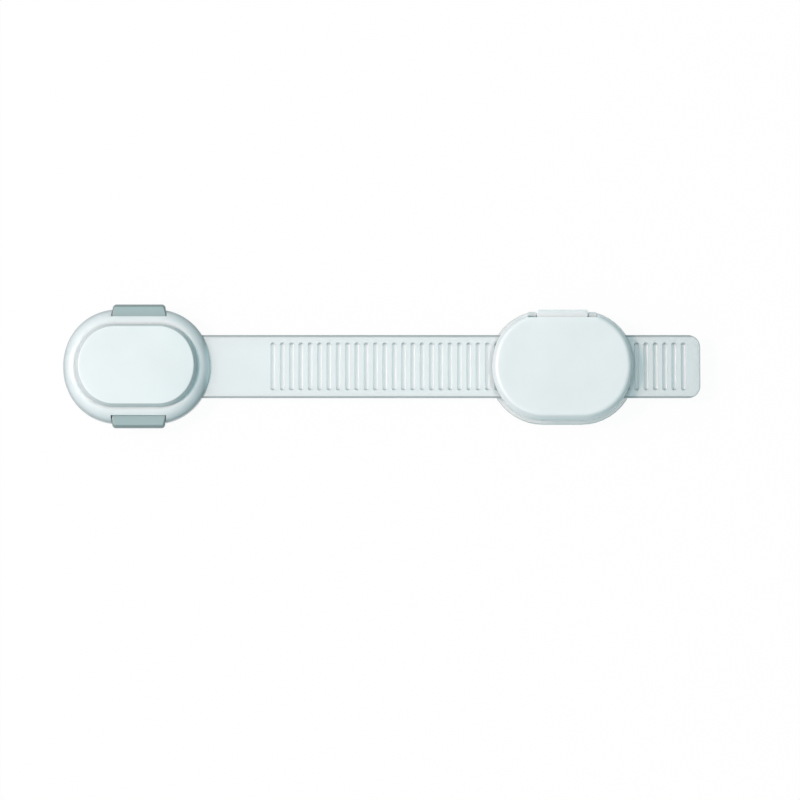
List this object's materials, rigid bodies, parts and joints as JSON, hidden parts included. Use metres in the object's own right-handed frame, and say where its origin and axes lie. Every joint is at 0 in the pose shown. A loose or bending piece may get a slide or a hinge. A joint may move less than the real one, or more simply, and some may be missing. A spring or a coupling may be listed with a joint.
{
  "type": "cabinet safety lock",
  "caption": "Adhesive strap lock for cabinets: an oval squeeze-release latch and an oval hinged anchor, joined by a clear ladder strap.",
  "frame": {"origin": "middle of the footprint on the mounting surface, level with the undersides of the adhesive pads", "axes": "+X along the strap from the latch to the tail, +Y towards the hinge side of the anchor, +Z away from the mounting surface"},
  "size_m": [0.1914, 0.0374, 0.0112],
  "materials": {
    "foam": "closed-cell foam tape, matte",
    "base_white": "moulded, satin",
    "shell_white": "translucent white, semi-gloss",
    "cover_white": "white, fine satin",
    "button_grey": "translucent grey-green, satin",
    "strap_clear": "clear flexible plastic, slightly frosted",
    "acetal": "natural acetal, satin",
    "spring_steel": "drawn wire"
  },
  "bodies": {
    "latch_mount": {"latch_adhesive_pad": "foam", "latch_base": "base_white", "catch_clip": "acetal"},
    "latch_head": {"latch_housing": "shell_white", "latch_cover": "cover_white", "latch_floor": "base_white", "strap": "strap_clear", "rear_spring_left": "spring_steel", "rear_spring_right": "spring_steel", "front_spring_left": "spring_steel", "front_spring_right": "spring_steel"},
    "rear_squeeze": {"rear_button": "button_grey"},
    "front_squeeze": {"front_button": "button_grey"},
    "anchor": {"anchor_adhesive_pad": "foam", "anchor_base": "strap_clear", "strap_pawl": "acetal", "hinge_pin": "spring_steel"},
    "anchor_lid": {"anchor_cover": "cover_white"}
  },
  "joints": [
    {"name": "head_lift", "type": "slide", "parent": "latch_mount", "child": "latch_head", "axis": [0, 0, 1], "range_m": [0, 0.02], "deforming": ["catch_clip"]},
    {"name": "rear_button_press", "type": "slide", "parent": "latch_head", "child": "rear_squeeze", "axis": [0, -1, 0], "range_m": [0, 0.002], "stiffness_N_per_m": 500, "springref_m": -0.002, "deforming": ["rear_spring_left", "rear_spring_right"]},
    {"name": "front_button_press", "type": "slide", "parent": "latch_head", "child": "front_squeeze", "axis": [0, 1, 0], "range_m": [0, 0.002], "stiffness_N_per_m": 500, "springref_m": -0.002, "deforming": ["front_spring_left", "front_spring_right"]},
    {"name": "strap_adjust", "type": "slide", "parent": "latch_head", "child": "anchor", "axis": [1, 0, 0], "range_m": [-0.08, 0.03], "deforming": ["strap_pawl"]},
    {"name": "cover_open", "type": "hinge", "parent": "anchor", "child": "anchor_lid", "pos_m": [0.05425, 0.0155, 0.0052], "axis": [-1, 0, 0], "range_deg": [0, 110]}
  ]
}
